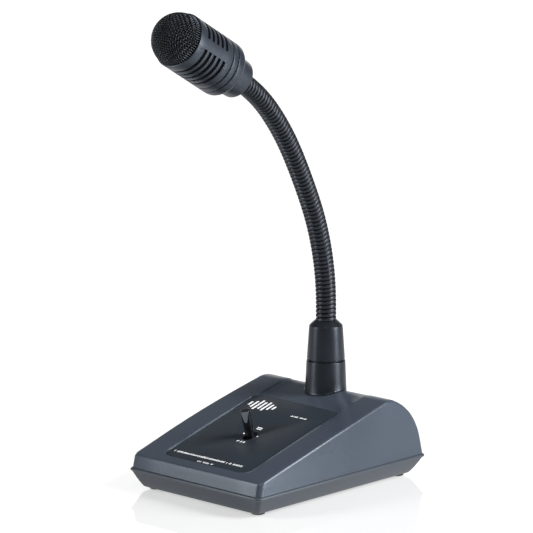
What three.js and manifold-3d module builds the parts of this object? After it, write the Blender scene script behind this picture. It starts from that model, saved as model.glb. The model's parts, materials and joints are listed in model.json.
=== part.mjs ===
// Gooseneck desk microphone: a weighted wedge base with a talk lever, a flexible neck
// and a dynamic capsule behind a domed grille.
// Millimetres, +Z up. The base and the head face -Y. The origin is on the desk, below
// the middle of the whole object's outline.
import * as THREE from 'three';
import { mergeVertices } from 'three/addons/utils/BufferGeometryUtils.js';
import Module from 'manifold-3d';

const wasm = await Module();
wasm.setup();

// Driving dimensions.
const GAP = 0.3;                 // space kept between pieces that touch
const WALL = 2.6;                // moulded wall of the base
const BASE_HALF_WIDTH = 65;      // at the bead along the parting line
const BASE_FRONT = -89;
const BASE_REAR = 89;
const BEAD = 1.2;                // how far the bead stands out from the cover
const CORNER_RADIUS = 4;
const FOOT_HEIGHT = 1.7;
const PARTING = 16;              // top of the tray
const FRONT_EDGE = -85.4;        // front edge of the sloping top
const FRONT_TOP = 25.3;
const SLOPE = THREE.MathUtils.degToRad(15.2);
const REAR_ARC = { y: 38, z: 15.6, radius: 48.4, lean: THREE.MathUtils.degToRad(15) };
const LABEL = { start: 8.5, end: 110, halfWidth: 42.2, radius: 7, depth: 1.3 };
const BAND = { halfWidth: 40, depth: 0.8 };
const SWITCH_STATION = 57.5;     // distance of the lever up the slope
const LEVER = { radius: 3.4, top: 19.5, pivotDepth: 8 };
const NECK_Y = 50.5;
const COLLAR_TOP = 112;
const NECK_RADIUS = 7.1;
const CABLE_RADIUS = 1.8;
const HINGES = 8;
const HINGE_MARGIN = 16.5;       // from either end of the free neck to its nearest hinge
const HEAD_RADIUS = 20.3;
const HEAD = { boot: 15, cap: 23.8, ring: 30.1, rim: 66.8, dome: 19.4 };
const SLOTS = { count: 5, spacing: 5.03, width: 2.3, first: 8.7 };

// The free neck from the collar to the boot: each stretch's length and how far it bends.
const NECK_STRETCHES = [
  { length: 9.8, bend: 0 },
  { length: 40.9, bend: THREE.MathUtils.degToRad(12.15) },
  { length: 40.9, bend: THREE.MathUtils.degToRad(11.85) },
  { length: 40.9, bend: THREE.MathUtils.degToRad(4.95) },
  { length: 40.9, bend: THREE.MathUtils.degToRad(11.7) },
  { length: 40.9, bend: THREE.MathUtils.degToRad(19.55) },
  { length: 3.2, bend: 0 },
];
const NECK_LENGTH = NECK_STRETCHES.reduce((sum, stretch) => sum + stretch.length, 0);

const FINISHES = {
  casing: { color: 0x3b424c, roughness: 0.5, metalness: 0 },
  label: { color: 0x2f353d, roughness: 0.6, metalness: 0 },
  blackPlastic: { color: 0x16181b, roughness: 0.4, metalness: 0 },
  rubber: { color: 0x101112, roughness: 0.8, metalness: 0 },
  paintedMetal: { color: 0x343b45, roughness: 0.4, metalness: 0.3 },
  blackMetal: { color: 0x15171a, roughness: 0.25, metalness: 0.7 },
  steel: { color: 0xa8abae, roughness: 0.35, metalness: 1 },
  brass: { color: 0xb89a55, roughness: 0.35, metalness: 1 },
  copper: { color: 0xb06a3a, roughness: 0.4, metalness: 1 },
  iron: { color: 0x6a6c6e, roughness: 0.6, metalness: 1 },
  board: { color: 0x1d5a38, roughness: 0.5, metalness: 0 },
  foam: { color: 0x1b1b1c, roughness: 0.95, metalness: 0 },
  film: { color: 0xb9bcc0, roughness: 0.3, metalness: 0.1 },
};

// ---- Geometry helpers -------------------------------------------------------------

function toSolid(geometry) {
  const bare = geometry.clone();
  bare.deleteAttribute('normal');
  bare.deleteAttribute('uv');
  const merged = mergeVertices(bare, 1e-4);
  return new wasm.Manifold(new wasm.Mesh({
    numProp: 3,
    vertProperties: merged.attributes.position.array,
    triVerts: Uint32Array.from(merged.index.array),
  }));
}

function toGeometry(solid) {
  const mesh = solid.getMesh();
  const geometry = new THREE.BufferGeometry();
  geometry.setAttribute('position', new THREE.BufferAttribute(mesh.vertProperties, 3));
  geometry.setIndex(new THREE.BufferAttribute(mesh.triVerts, 1));
  geometry.computeVertexNormals();
  return geometry;
}

const combine = (method) => (first, ...others) =>
  toGeometry(others.reduce((solid, other) => solid[method](toSolid(other)), toSolid(first)));
const join = combine('add');
const cut = combine('subtract');
const overlap = combine('intersect');

function box(width, depth, height, x = 0, y = 0, z = 0) {
  return new THREE.BoxGeometry(width, depth, height).translate(x, y, z);
}

// A solid of revolution about Z, from [radius, height] points that run from the lowest
// point of the axis or bore, round the outside, to the highest.
function revolve(points, segments = 20, closed = false) {
  const outline = points.map(([radius, height]) => new THREE.Vector2(radius, height));
  if (closed) outline.push(outline[0].clone());
  return new THREE.LatheGeometry(outline, segments).rotateX(Math.PI / 2);
}

function rod(radius, bottom, top, segments = 12) {
  return revolve([[0, bottom], [radius, bottom], [radius, top], [0, top]], segments);
}

function tube(outer, inner, bottom, top, segments = 20) {
  return revolve([[inner, bottom], [outer, bottom], [outer, top], [inner, top]], segments, true);
}

function hexNut(radius, bore, bottom, top) {
  return cut(rod(radius, bottom, top, 6), rod(bore, bottom - 1, top + 1, 20));
}

// A screw that points along +Z from under its round head, whose top is at z = 0.
function screwShape(headRadius, headHeight, shaftRadius, length) {
  const under = headHeight;
  return revolve([
    [0, 0], [headRadius * 0.7, 0], [headRadius, headHeight * 0.5], [headRadius, under],
    [shaftRadius, under], [shaftRadius, under + length], [0, under + length + shaftRadius],
  ], 8);
}

function arcPoints(radius, from, to, steps, centre = 0) {
  const points = [];
  for (let i = 0; i <= steps; i++) {
    const angle = from + (to - from) * i / steps;
    points.push([radius * Math.cos(angle), centre + radius * Math.sin(angle)]);
  }
  return points;
}

function roundedRect(halfWidth, front, rear, radius) {
  const shape = new THREE.Shape();
  const quarter = Math.PI / 2;
  shape.absarc(halfWidth - radius, front + radius, radius, -quarter, 0);
  shape.absarc(halfWidth - radius, rear - radius, radius, 0, quarter);
  shape.absarc(-halfWidth + radius, rear - radius, radius, quarter, 2 * quarter);
  shape.absarc(-halfWidth + radius, front + radius, radius, 2 * quarter, 3 * quarter);
  return shape;
}

function slab(shape, bottom, top, curveSegments = 2) {
  const settings = { depth: top - bottom, bevelEnabled: false, curveSegments };
  return new THREE.ExtrudeGeometry(shape, settings).translate(0, 0, bottom);
}

// A closed solid through rounded rectangles at rising heights.
function loft(sections, cornerSteps = 2) {
  const rings = sections.map((s) =>
    roundedRect(s.halfWidth, s.front, s.rear, s.radius).getPoints(cornerSteps).slice(0, -1));
  const count = rings[0].length;
  const positions = rings.flatMap((ring, level) =>
    ring.flatMap((point) => [point.x, point.y, sections[level].z]));
  const faces = [];
  for (let level = 0; level + 1 < rings.length; level++) {
    for (let i = 0; i < count; i++) {
      const next = (i + 1) % count;
      const low = level * count;
      const high = low + count;
      faces.push(low + i, low + next, high + next, low + i, high + next, high + i);
    }
  }
  const lid = (rings.length - 1) * count;
  for (let i = 1; i + 1 < count; i++) {
    faces.push(0, i + 1, i);
    faces.push(lid, lid + i, lid + i + 1);
  }
  const geometry = new THREE.BufferGeometry();
  geometry.setAttribute('position', new THREE.Float32BufferAttribute(positions, 3));
  geometry.setIndex(faces);
  geometry.computeVertexNormals();
  return geometry;
}

function piece(parent, name, geometry, finish) {
  const mesh = new THREE.Mesh(geometry, new THREE.MeshStandardMaterial(FINISHES[finish]));
  mesh.name = name;
  parent.add(mesh);
  return mesh;
}

function placed(geometry, frame) {
  frame.updateMatrix();
  return geometry.clone().applyMatrix4(frame.matrix);
}

// ---- Frames of the sloping panel and of the rear socket -----------------------------

const panel = new THREE.Group();
panel.position.set(0, FRONT_EDGE, FRONT_TOP);
panel.rotation.x = SLOPE;

const SOCKET_ANGLE = THREE.MathUtils.degToRad(21);
const SOCKET_FLAT_DEPTH = 1.7;
const socketFrame = new THREE.Group();
const socketReach = REAR_ARC.radius - SOCKET_FLAT_DEPTH;
socketFrame.position.set(
  0,
  REAR_ARC.y + socketReach * Math.cos(SOCKET_ANGLE),
  REAR_ARC.z + socketReach * Math.sin(SOCKET_ANGLE),
);
socketFrame.rotation.x = SOCKET_ANGLE - Math.PI / 2;

// ---- Base casing --------------------------------------------------------------------

const CASE_SCREWS = [[-52, -58], [52, -58], [-52, 56], [52, 56]];
const FEET = { x: 50.5, front: -74.5, rear: 72.5, radius: 5 };
const BOARD = { z: 24, thickness: 1.6, front: 6, rear: 60, halfWidth: 36, screwX: 31, screwY: 33 };
const BALLAST = { halfWidth: 44, front: -70, rear: 4, bottom: 6, top: 13, screwX: 38, screwY: -33 };

function topHeight(y, inset = 0) {
  return FRONT_TOP + (y - FRONT_EDGE) * Math.tan(SLOPE) - inset / Math.cos(SLOPE);
}

// Where the sloping top meets the rear arc.
function crest(inset) {
  const offset = (topHeight(REAR_ARC.y, inset) - REAR_ARC.z) * Math.cos(SLOPE);
  const chord = Math.sqrt((REAR_ARC.radius - inset) ** 2 - offset ** 2);
  const y = REAR_ARC.y - offset * Math.sin(SLOPE) + chord * Math.cos(SLOPE);
  return new THREE.Vector2(y, topHeight(y, inset));
}

// The cover's side view as a solid across the base, with rounded long edges.
function wedge(halfWidth, inset, edge) {
  const bottom = PARTING - 8;
  const front = FRONT_EDGE - 2 + inset;
  const top = crest(inset);
  const start = Math.atan2(top.y - REAR_ARC.z, top.x - REAR_ARC.y);
  const shape = new THREE.Shape();
  shape.moveTo(front - 1.8, bottom);
  const foot = new THREE.Vector2(REAR_ARC.y, REAR_ARC.z).add(
    new THREE.Vector2(Math.cos(REAR_ARC.lean), Math.sin(REAR_ARC.lean))
      .multiplyScalar(REAR_ARC.radius - inset));
  shape.lineTo(foot.x + (foot.y - bottom) * Math.tan(REAR_ARC.lean), bottom);
  shape.absarc(REAR_ARC.y, REAR_ARC.z, REAR_ARC.radius - inset, REAR_ARC.lean, start);
  shape.lineTo(front + 3.5, topHeight(front + 3.5, inset));
  shape.quadraticCurveTo(
    front + 1.2, topHeight(front + 1.2, inset), front + 1, topHeight(front, inset) - 2);
  const settings = {
    depth: 2 * (halfWidth - edge),
    bevelEnabled: edge > 0,
    bevelThickness: edge,
    bevelSize: edge,
    bevelOffset: -edge,
    bevelSegments: 2,
    curveSegments: 6,
  };
  const across = new THREE.Matrix4().makeBasis(
    new THREE.Vector3(0, 1, 0), new THREE.Vector3(0, 0, 1), new THREE.Vector3(1, 0, 0));
  return new THREE.ExtrudeGeometry(shape, settings)
    .translate(0, 0, edge - halfWidth)
    .applyMatrix4(across);
}

// The cover's outline from above, drawn in slightly towards the top.
function coverPlan(inset) {
  const side = BASE_HALF_WIDTH - BEAD - inset;
  const section = (halfWidth, z) => ({
    halfWidth, z, front: FRONT_EDGE - 3 + inset, rear: BASE_REAR - BEAD - inset,
    radius: CORNER_RADIUS - inset / 2,
  });
  return loft([section(side, PARTING + GAP), section(side - 1, 66)]);
}

function coverForm(inset, edge) {
  return overlap(wedge(BASE_HALF_WIDTH - BEAD - inset, inset, edge), coverPlan(inset));
}

function labelCutter(inset, bottom, top) {
  const outline = roundedRect(
    LABEL.halfWidth - inset, LABEL.start + inset, LABEL.end - inset, LABEL.radius - inset);
  return slab(outline, bottom, top);
}

function stadium(halfWidth, halfLength) {
  return roundedRect(halfWidth, -halfLength, halfLength, halfWidth);
}

const BEZEL = { halfWidth: 11, halfLength: 15.5, thickness: 2.2 };
const LEVER_SLOT = { halfWidth: 3.9, halfLength: 7 };
const NECK_BOSS = { radius: 13, bottom: 50 };
const STUD = { radius: 6.4, bore: 4, bottom: 40, top: 100.5 };

function makeTopCover(outer) {
  const inside = join(
    overlap(coverForm(WALL, 0), box(200, 200, 90, 0, 0, PARTING + 45)),
    box(2 * (BASE_HALF_WIDTH - BEAD - WALL), 166, 4, 0, 0.5, PARTING + 1),
  );
  let shell = cut(outer, inside);

  const bosses = CASE_SCREWS.map(([x, y]) => rod(4, PARTING + GAP, 70, 8).translate(x, y, 0));
  bosses.push(rod(NECK_BOSS.radius, NECK_BOSS.bottom, 70, 16).translate(0, NECK_Y, 0));
  const socketPad = placed(box(34, 30, 8, 0, 0, -2.6), socketFrame);
  shell = join(shell, overlap(join(...bosses, socketPad), outer));

  const bandStart = FRONT_EDGE + (LABEL.end - 1) * Math.cos(SLOPE);
  const bandBox = box(2 * BAND.halfWidth, 80, 60, 0, bandStart + 40, 56);
  const band = cut(bandBox, wedge(BASE_HALF_WIDTH, BAND.depth, 0));
  const bezelHole = slab(stadium(BEZEL.halfWidth + GAP, BEZEL.halfLength + GAP), -20, 5);
  const pilots = CASE_SCREWS.map(([x, y]) => rod(1.6, PARTING - 2, 30, 8).translate(x, y, 0));
  return cut(
    shell,
    placed(labelCutter(0, -LABEL.depth, 5), panel),
    band,
    placed(bezelHole.translate(0, SWITCH_STATION, 0), panel),
    rod(STUD.radius + GAP, 30, 80).translate(0, NECK_Y, 0),
    placed(box(40, 36, 10, 0, 0, 5), socketFrame),
    placed(rod(8.2, -20, 5, 20), socketFrame),
    ...SOCKET_SCREWS.map((x) => placed(rod(1.3, -20, 5, 8).translate(x, 0, 0), socketFrame)),
    ...pilots,
  );
}

function makeBottomTray() {
  const section = (draw, z, radius = CORNER_RADIUS) => ({
    halfWidth: BASE_HALF_WIDTH - draw, front: BASE_FRONT + draw, rear: BASE_REAR - draw, radius, z,
  });
  const outer = loft([
    section(7.2, FOOT_HEIGHT), section(1, PARTING - 2.6), section(0, PARTING - 2), section(0, PARTING),
  ]);
  const inner = loft([
    section(7.2 + WALL - 1, FOOT_HEIGHT + WALL), section(1.7 + WALL, PARTING - 2),
    section(1.7 + WALL, PARTING + 5),
  ]);
  const posts = CASE_SCREWS.map(([x, y]) => rod(5.5, FOOT_HEIGHT + 1, PARTING, 10).translate(x, y, 0));
  for (const side of [-1, 1]) {
    posts.push(rod(4, FOOT_HEIGHT + 1, BOARD.z - GAP, 8).translate(side * BOARD.screwX, BOARD.screwY, 0));
  }
  const holes = [];
  for (const [x, y] of CASE_SCREWS) {
    holes.push(rod(3.7, 0, 9, 10).translate(x, y, 0));
    holes.push(rod(1.7, 8, PARTING + 2, 8).translate(x, y, 0));
  }
  for (const [x, y] of footPlaces()) {
    holes.push(rod(FEET.radius + GAP, 0, FOOT_HEIGHT + 0.8, 16).translate(x, y, 0));
  }
  for (const side of [-1, 1]) {
    holes.push(rod(1.3, BOARD.z - 12, BOARD.z + 1, 8).translate(side * BOARD.screwX, BOARD.screwY, 0));
    holes.push(rod(1.3, FOOT_HEIGHT + 0.6, 8, 8).translate(side * BALLAST.screwX, BALLAST.screwY, 0));
  }
  return cut(join(cut(outer, inner), ...posts), ...holes);
}

function footPlaces() {
  return [[-FEET.x, FEET.front], [FEET.x, FEET.front], [-FEET.x, FEET.rear], [FEET.x, FEET.rear]];
}

function addCasing(parent) {
  const outer = coverForm(0, 2);
  piece(parent, 'top_cover', makeTopCover(outer), 'casing');
  piece(parent, 'bottom_tray', makeBottomTray(), 'casing');

  footPlaces().forEach(([x, y], i) => {
    const foot = revolve([
      [0, 0], [FEET.radius - 0.8, 0], [FEET.radius, 0.8],
      [FEET.radius, FOOT_HEIGHT + 0.5], [0, FOOT_HEIGHT + 0.5],
    ], 16);
    piece(parent, `foot_${i + 1}`, foot, 'rubber').position.set(x, y, 0);
  });
  CASE_SCREWS.forEach(([x, y], i) => {
    const screw = screwShape(3.1, 2.4, 1.3, 18);
    piece(parent, `case_screw_${i + 1}`, screw, 'steel').position.set(x, y, 6.2);
  });
}

function addLabel(parent) {
  const hole = slab(stadium(BEZEL.halfWidth + GAP, BEZEL.halfLength + GAP), -5, 5);
  const sheet = labelCutter(GAP, -LABEL.depth + GAP, -0.4);
  piece(parent, 'label_plate', cut(sheet, hole.translate(0, SWITCH_STATION, 0)), 'label');
}

// ---- What the base holds --------------------------------------------------------------

function addBallast(parent) {
  const { halfWidth, front, rear, bottom, top, screwX, screwY } = BALLAST;
  let plate = slab(roundedRect(halfWidth, front, rear, 4), bottom, top, 2);
  for (const side of [-1, 1]) {
    plate = cut(plate, rod(2.2, 0, 20, 10).translate(side * screwX, screwY, 0));
  }
  piece(parent, 'ballast_weight', plate, 'iron');
  [-1, 1].forEach((side, i) => {
    const screw = piece(parent, `ballast_screw_${i + 1}`, screwShape(3.4, 2, 1, 8.3), 'steel');
    screw.rotation.x = Math.PI;
    screw.position.set(side * screwX, screwY, top + 2 + GAP);
  });
}

function addBoard(parent) {
  const { halfWidth, front, rear, z, thickness, screwX, screwY } = BOARD;
  let board = slab(roundedRect(halfWidth, front, rear, 2), z, z + thickness, 2);
  for (const side of [-1, 1]) {
    board = cut(board, rod(1.6, 0, 60, 10).translate(side * screwX, screwY, 0));
  }
  piece(parent, 'circuit_board', board, 'board');
  [-1, 1].forEach((side, i) => {
    const screw = piece(parent, `board_screw_${i + 1}`, screwShape(2.6, 1.6, 1, 8), 'steel');
    screw.rotation.x = Math.PI;
    screw.position.set(side * screwX, screwY, z + thickness + 1.6 + GAP);
  });
}

// Matching transformer: a two-window core with the winding round its middle leg.
function addTransformer(parent) {
  const core = { width: 24, depth: 8, height: 16, leg: 6, window: 5 };
  const winding = { reach: core.leg / 2 + core.window - 2 * GAP, height: core.height - core.leg - 2 * GAP };
  const place = new THREE.Group();
  place.position.set(-14, 26, BOARD.z + BOARD.thickness + GAP + core.height / 2);
  parent.add(place);
  const windowX = core.leg / 2 + core.window / 2;
  const windowCut = (side) => box(core.window, 20, core.height - core.leg, side * windowX, 0, 0);
  piece(place, 'transformer_core', cut(
    box(core.width, core.depth, core.height), windowCut(-1), windowCut(1)), 'iron');
  const outside = box(2 * winding.reach, 15, winding.height);
  const inside = box(core.leg + 2 * GAP, core.depth + 2 * GAP, 30);
  piece(place, 'transformer_winding', cut(outside, inside), 'copper');
}

const SOCKET_SCREWS = [-11.2, 11.2];

// Five-pole output socket on the flat spot at the rear.
function addSocket(parent) {
  parent.add(socketFrame);
  const flange = slab(stadium(8.8, 15), GAP, GAP + 1.2).rotateZ(Math.PI / 2);
  const barrel = rod(7.8, -11, GAP + 2.2, 20);
  const bore = rod(7, -9.5, 10, 20);
  const screwHoles = SOCKET_SCREWS.map((x) => rod(1.3, -5, 5, 8).translate(x, 0, 0));
  piece(socketFrame, 'output_socket_shell', cut(join(flange, barrel), bore, ...screwHoles), 'steel');

  const poles = [];
  for (let i = 0; i < 5; i++) {
    const angle = Math.PI * i / 4;
    poles.push(rod(0.7, -6, 10, 6).translate(4 * Math.cos(angle), -4 * Math.sin(angle), 0));
  }
  piece(socketFrame, 'output_socket_insert', cut(rod(6.3, -9, GAP + 1.8, 20), ...poles), 'blackPlastic');
  SOCKET_SCREWS.forEach((x, i) => {
    const screw = piece(socketFrame, `socket_screw_${i + 1}`, screwShape(2.2, 1.4, 1, 7), 'steel');
    screw.rotation.x = Math.PI;
    screw.position.set(x, 0, GAP + 1.2 + GAP + 1.4);
  });
}

// ---- Talk switch ------------------------------------------------------------------------

function makeBezel() {
  const { halfWidth, halfLength, thickness } = BEZEL;
  const plate = slab(stadium(halfWidth, halfLength), -thickness, -0.4, 3);
  const dish = new THREE.SphereGeometry(70, 24, 24).translate(0, 0, 70 - 1.3);
  const slot = slab(stadium(LEVER_SLOT.halfWidth, LEVER_SLOT.halfLength), -10, 10);
  return cut(plate, overlap(box(40, 50, 4), dish), slot);
}

function makeSwitchBody(pivot) {
  const shell = box(17, 30, 18, 0, 0, -WALL - GAP - 9);
  const cavity = box(9, 21, 20, 0, 0, -WALL - 6.5);
  return cut(shell, cavity, rod(1.3, -20, 20, 10).rotateY(Math.PI / 2).translate(0, 0, -pivot));
}

function makeLever() {
  const { radius, top, pivotDepth } = LEVER;
  const stem = revolve([
    [0, -6], [2.2, -6], [2.6, -2], [radius, 3], [radius, top + pivotDepth - 0.8],
    [radius - 0.8, top + pivotDepth], [0, top + pivotDepth],
  ], 16);
  const facet = box(20, 10, 30).translate(0, -5, 15).rotateX(-THREE.MathUtils.degToRad(17))
    .translate(0, -radius, top + pivotDepth - 10);
  return cut(stem, facet, rod(1.3, -10, 10, 10).rotateY(Math.PI / 2));
}

function addSwitch(parent) {
  const place = new THREE.Group();
  place.position.y = SWITCH_STATION;
  parent.add(place);
  piece(place, 'switch_bezel', makeBezel(), 'label');
  piece(place, 'switch_body', makeSwitchBody(LEVER.pivotDepth), 'blackPlastic');
  const pin = piece(place, 'switch_pivot_pin', rod(1, -7.5, 7.5, 10).rotateY(Math.PI / 2), 'steel');
  pin.position.z = -LEVER.pivotDepth;
  for (const [name, side] of [['switch_contact_front', -1], ['switch_contact_rear', 1]]) {
    const leaf = join(box(5, 0.5, 9, 0, 5.2, -13.5), box(5, 3, 0.5, 0, 6.6, -17.8));
    piece(place, name, side < 0 ? leaf.rotateZ(Math.PI) : leaf, 'brass');
  }
  const lever = piece(place, 'switch_lever', makeLever(), 'blackPlastic');
  lever.position.z = -LEVER.pivotDepth;
}

// ---- Collars and neck -------------------------------------------------------------------

function addCollars(parent) {
  const place = new THREE.Group();
  place.position.y = NECK_Y;
  parent.add(place);
  const bore = STUD.radius + GAP;
  const blank = revolve([
    [bore, 50], [15.3, 50], [14.9, 62], [14.2, 80.8], [13.5, 82.2], [12.5, 82.2], [12.5, 82.9],
    [bore, 82.9],
  ], 24, true);
  const seat = wedge(BASE_HALF_WIDTH, BAND.depth - GAP, 0).translate(0, -NECK_Y, 0);
  piece(place, 'lower_collar', cut(blank, seat), 'paintedMetal');
  piece(place, 'upper_collar', revolve([
    [bore, 83.2], [13.4, 83.2], [13.9, 83.8], [13.5, 89.3], [12.4, 106], [12.1, 108.2], [8.4, COLLAR_TOP],
    [NECK_RADIUS + GAP, COLLAR_TOP],
    [NECK_RADIUS + GAP, STUD.top], [bore, STUD.top],
  ], 24, true), 'paintedMetal');
  const stud = STUD.radius;
  piece(place, 'neck_stud', tube(stud, STUD.bore, STUD.bottom, STUD.top, 20), 'steel');
  const nut = hexNut(11, stud + GAP, NECK_BOSS.bottom - 7, NECK_BOSS.bottom - GAP);
  piece(place, 'neck_lock_nut', nut, 'brass');
}

// A point of the neck's centre line, and how far the line leans forward there.
function neckAt(distance) {
  const spot = { y: NECK_Y, z: COLLAR_TOP, lean: 0 };
  let left = distance;
  for (const { length, bend } of NECK_STRETCHES) {
    const run = Math.min(left, length);
    const turn = bend * run / length;
    const radius = bend ? length / bend : 0;
    spot.y += bend
      ? radius * (Math.cos(spot.lean + turn) - Math.cos(spot.lean)) : -run * Math.sin(spot.lean);
    spot.z += bend
      ? radius * (Math.sin(spot.lean + turn) - Math.sin(spot.lean)) : run * Math.cos(spot.lean);
    spot.lean += turn;
    left -= run;
    if (left <= 0) break;
  }
  return spot;
}

class NeckCurve extends THREE.Curve {
  constructor(from, to) {
    super();
    this.from = from;
    this.to = to;
  }

  getPoint(t) {
    const spot = neckAt(this.from + (this.to - this.from) * t);
    return new THREE.Vector3(0, spot.y, spot.z);
  }
}

// One rigid length of neck from its own hinge at z = 0 to the next hinge at z = length.
// A ball end sits in the cup of the link below, both centred on the hinge.
function makeLink(length, hasBall, hasCup) {
  const ball = 8.2;
  const cup = 8.8;
  const bore = 3.4;
  const edge = (radius, reach) => Math.acos(reach / radius);
  const lower = hasBall
    ? arcPoints(ball, -edge(ball, bore), -edge(ball, NECK_RADIUS), 3)
    : [[bore, 0], [NECK_RADIUS, 0]];
  const upper = hasCup
    ? arcPoints(cup, -edge(cup, NECK_RADIUS), -edge(cup, bore), 3, length)
    : [[NECK_RADIUS, length], [bore, length]];
  return revolve([...lower, ...upper], 12, true);
}

const LINK_START = STUD.top + GAP - COLLAR_TOP;
const LINK_END = NECK_LENGTH + 17;

function hingeStations() {
  const spacing = (NECK_LENGTH - 2 * HINGE_MARGIN) / (HINGES - 1);
  return Array.from({ length: HINGES }, (_, i) => HINGE_MARGIN + i * spacing);
}

function addNeck(parent) {
  const ends = [LINK_START, ...hingeStations(), LINK_END];
  for (let i = 0; i + 1 < ends.length; i++) {
    const from = neckAt(ends[i]);
    const to = neckAt(ends[i + 1]);
    const length = Math.hypot(to.y - from.y, to.z - from.z);
    const link = piece(parent, `neck_link_${i}`, makeLink(length, i > 0, i < HINGES), 'blackMetal');
    link.position.set(0, from.y, from.z);
    link.rotation.x = Math.atan2(from.y - to.y, to.z - from.z);
  }
  const section = new THREE.Shape().absarc(0, 0, CABLE_RADIUS, 0, 2 * Math.PI);
  const cable = new THREE.ExtrudeGeometry(section, {
    steps: 24, curveSegments: 4, bevelEnabled: false,
    extrudePath: new NeckCurve(STUD.bottom - COLLAR_TOP - 6, LINK_END + 8),
  });
  piece(parent, 'neck_cable', cable, 'rubber');
}

// ---- Head ---------------------------------------------------------------------------------

function makeHeadBody() {
  const inner = 18.7;
  const barrel = revolve([
    [17.9, HEAD.ring + GAP / 2], [HEAD_RADIUS - 0.6, HEAD.ring + GAP / 2], [HEAD_RADIUS, HEAD.ring + 0.7],
    [HEAD_RADIUS, HEAD.rim - 0.4], [HEAD_RADIUS - 0.4, HEAD.rim], [HEAD.dome + GAP, HEAD.rim],
    [HEAD.dome + GAP, HEAD.rim - 1.6], [inner, HEAD.rim - 1.6], [inner, 34.5], [17.9, 34.5],
  ], 24, true);
  const gapHalf = THREE.MathUtils.degToRad(11.5);
  const gapCentre = THREE.MathUtils.degToRad(7.4);
  const spans = [
    [gapCentre + gapHalf, Math.PI - gapCentre - gapHalf],
    [Math.PI - gapCentre + gapHalf, 2 * Math.PI + gapCentre - gapHalf],
  ];
  const cutters = [];
  for (const [from, to] of spans) {
    const sector = new THREE.Shape();
    sector.absarc(0, 0, 24, from, to, false);
    sector.absarc(0, 0, 16, to, from, true);
    for (let i = 0; i < SLOTS.count; i++) {
      const middle = HEAD.rim - SLOTS.first - i * SLOTS.spacing;
      cutters.push(slab(sector, middle - SLOTS.width / 2, middle + SLOTS.width / 2, 4));
    }
  }
  return cut(barrel, ...cutters);
}

function addHeadShell(parent) {
  const bore = NECK_RADIUS + GAP;
  piece(parent, 'neck_boot', revolve([
    [bore, 0], [13.4, 0], [14, 0.7], [14.9, HEAD.boot - GAP], [bore, HEAD.boot - GAP],
  ], 24, true), 'paintedMetal');
  const sleeve = 17.5;
  piece(parent, 'rear_cap', revolve([
    [bore, HEAD.boot], [16.2, HEAD.boot], [18.1, HEAD.boot + 0.5], [19.4, HEAD.boot + 1.8],
    [HEAD_RADIUS - 0.1, HEAD.boot + 3.8], [HEAD_RADIUS - 0.1, HEAD.cap - 0.5],
    [HEAD_RADIUS - 0.6, HEAD.cap],
    [sleeve, HEAD.cap], [sleeve, 34], [16, 34], [16, HEAD.boot + 3], [bore, HEAD.boot + 3],
  ], 24, true), 'paintedMetal');
  piece(parent, 'trim_ring', revolve([
    [sleeve + GAP, HEAD.cap + GAP], [HEAD_RADIUS - 0.7, HEAD.cap + GAP],
    [HEAD_RADIUS - 0.1, HEAD.cap + 0.9], [HEAD_RADIUS - 0.1, HEAD.ring - 0.8],
    [HEAD_RADIUS - 0.7, HEAD.ring - GAP / 2], [sleeve + GAP, HEAD.ring - GAP / 2],
  ], 24, true), 'paintedMetal');
  const nut = hexNut(12, bore, HEAD.boot + 3 + GAP, HEAD.boot + 7.5);
  piece(parent, 'neck_end_nut', nut, 'brass');
  piece(parent, 'head_body', makeHeadBody(), 'paintedMetal');
}

function domeShell(outer, inner, skirtBottom) {
  const quarter = Math.PI / 2;
  const outside = arcPoints(outer, 0, quarter, 7, HEAD.rim).slice(0, -1);
  const inside = arcPoints(inner, quarter, 0, 7, HEAD.rim).slice(1);
  return revolve([
    [0, HEAD.rim + inner], ...inside, [inner, skirtBottom],
    [outer, skirtBottom], ...outside, [0, HEAD.rim + outer],
  ], 24);
}

function addGrille(parent) {
  const skirt = HEAD.rim - 1.3;
  piece(parent, 'grille', domeShell(HEAD.dome, HEAD.dome - 0.9, skirt), 'blackMetal');
  piece(parent, 'grille_rim', tube(HEAD.dome - 1.3, HEAD.dome - 2.8, skirt, skirt + 2.5), 'blackMetal');
  const foam = domeShell(HEAD.dome - 1.3, HEAD.dome - 4, HEAD.rim + 1.6);
  piece(parent, 'foam_liner', foam, 'foam');
}

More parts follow.
